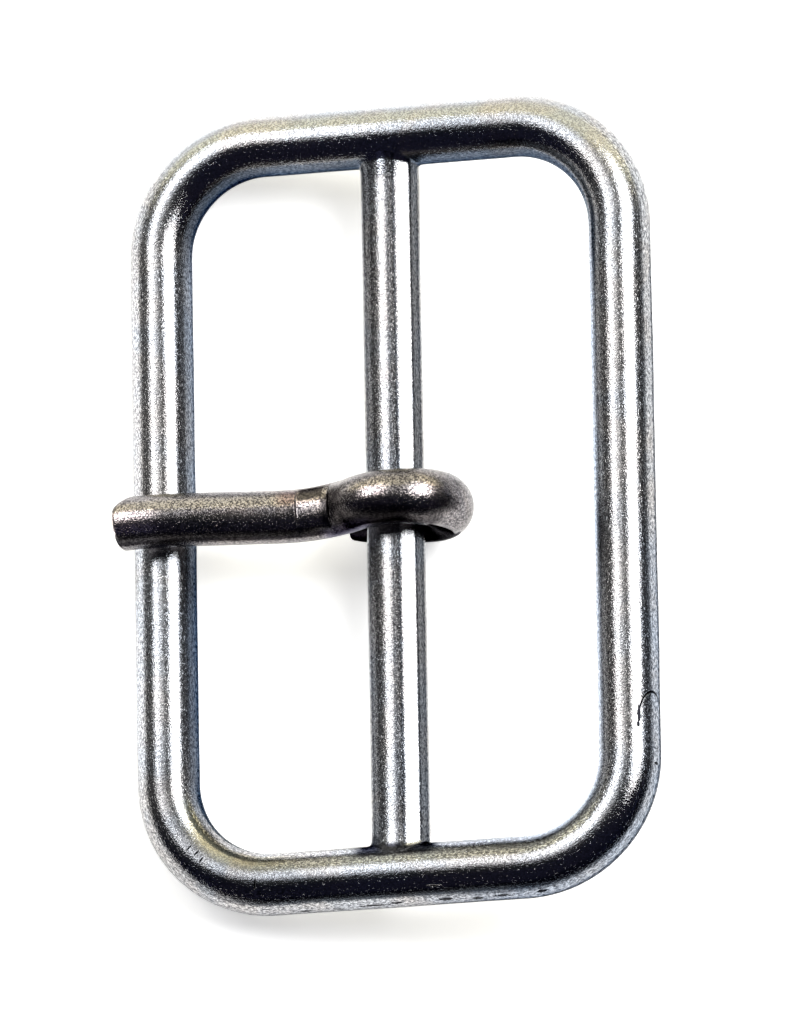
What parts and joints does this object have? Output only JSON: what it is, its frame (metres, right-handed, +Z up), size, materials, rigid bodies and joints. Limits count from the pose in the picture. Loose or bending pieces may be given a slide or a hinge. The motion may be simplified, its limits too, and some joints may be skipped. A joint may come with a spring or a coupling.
{
  "type": "waistcoat buckle",
  "caption": "Oblong wire strap buckle with rounded corners, a soldered centre bar and a prong that turns on the bar and rests on the long rail.",
  "frame": {"origin": "middle of the buckle's footprint as it lies on a surface, at the height of that surface", "axes": "+Y along the centre bar and the long rails, +X from the prong's tip towards the raised long rail, +Z up"},
  "size_m": [0.0196, 0.0296, 0.0061],
  "materials": {
    "frame_metal": "dark antique nickel over steel wire, glossy and finely speckled",
    "prong_metal": "dark antique nickel over steel wire, darker and more worn"
  },
  "bodies": {
    "frame": {"frame": "frame_metal"},
    "prong": {"prong": "prong_metal"}
  },
  "joints": [
    {"name": "prong_hinge", "type": "hinge", "parent": "frame", "child": "prong", "pos_m": [0.00038, 0, 0.00283], "axis": [0, 1, 0], "range_deg": [0, 148]}
  ]
}
